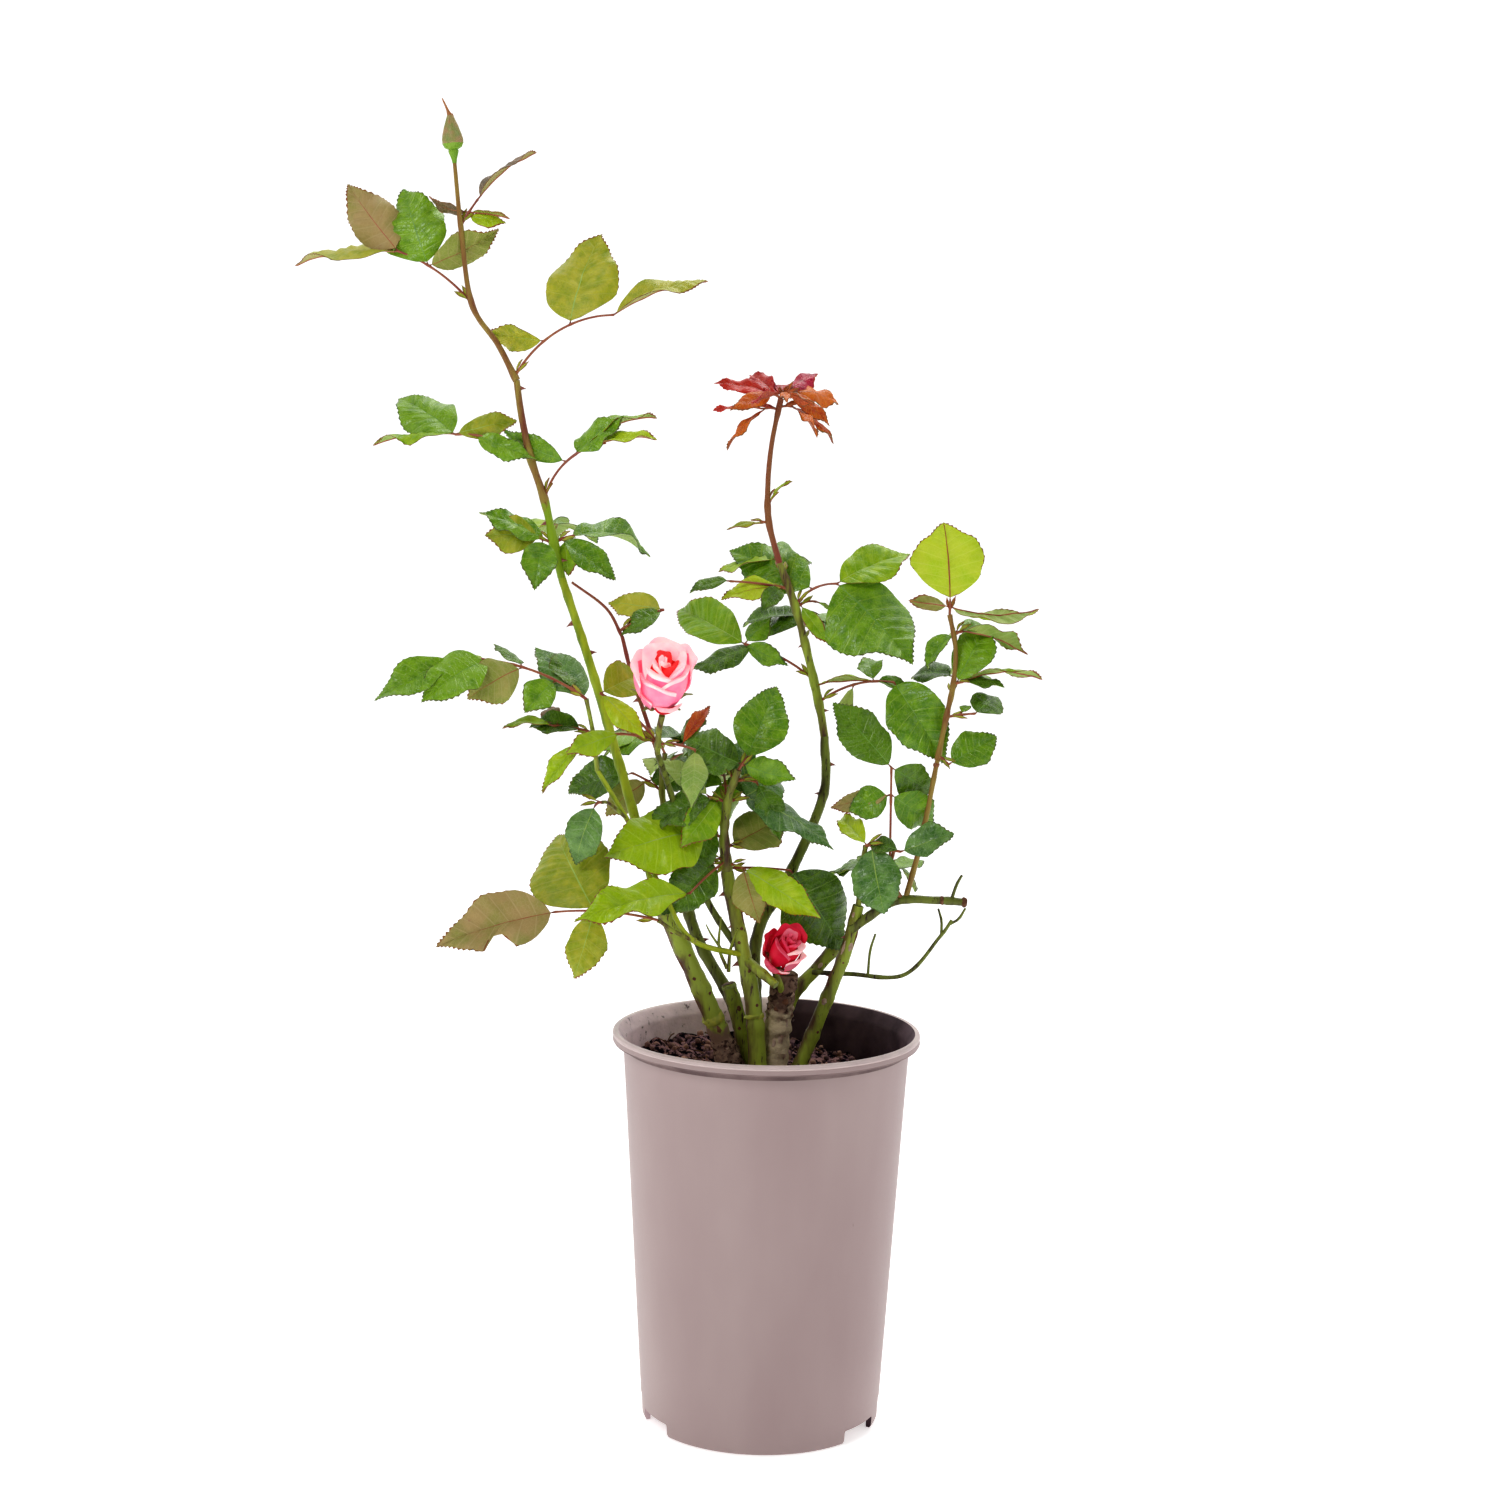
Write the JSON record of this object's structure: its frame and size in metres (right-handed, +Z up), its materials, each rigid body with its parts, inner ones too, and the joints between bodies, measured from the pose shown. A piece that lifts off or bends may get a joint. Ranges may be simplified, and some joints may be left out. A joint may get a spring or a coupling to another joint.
{
  "type": "rose bush",
  "caption": "Potted rose bush in a deep nursery pot, with short pruned canes, long leafy shoots, an open pink bloom, a half-open red bloom, a closed bud and young red leaves",
  "frame": {"origin": "centre of the pot's flat underside, on the surface it stands on", "axes": "+Z up; -Y towards the viewer, the side the pink bloom faces; +X to the viewer's right"},
  "size_m": [0.467, 0.2071, 0.8078],
  "materials": {
    "pot_plastic": "satin",
    "soil": "rough",
    "old_wood": "rough",
    "green_cane": "satin",
    "dark_cane": "satin",
    "foliage": "satin",
    "red_foliage": "satin",
    "red_bloom": "satin"
  },
  "bodies": {
    "root": {"pot": "pot_plastic", "soil": "soil", "graft_stub": "old_wood", "left_cane": "green_cane", "middle_cane": "green_cane", "right_cane": "green_cane", "dark_cane": "dark_cane", "short_stub": "green_cane", "slant_cane": "green_cane", "whorl_cane": "green_cane", "cut_branch": "green_cane", "right_shoot": "green_cane", "spent_twig": "green_cane", "tall_cane": "green_cane", "rose_cane": "dark_cane", "side_twig": "dark_cane", "left_shoot": "green_cane", "tall_shoot": "foliage", "tall_tip": "foliage", "whorl_leaves": "foliage", "red_whorl": "red_foliage", "right_leaves": "foliage", "right_middle": "foliage", "right_low": "foliage", "centre_leaves": "foliage", "low_bloom": "red_bloom", "rose_leaves": "foliage", "left_leaves": "foliage", "low_left_leaves": "foliage", "hanging_leaf": "foliage", "dark_cane_leaves": "foliage", "twig_leaves": "foliage"}
  },
  "joints": []
}
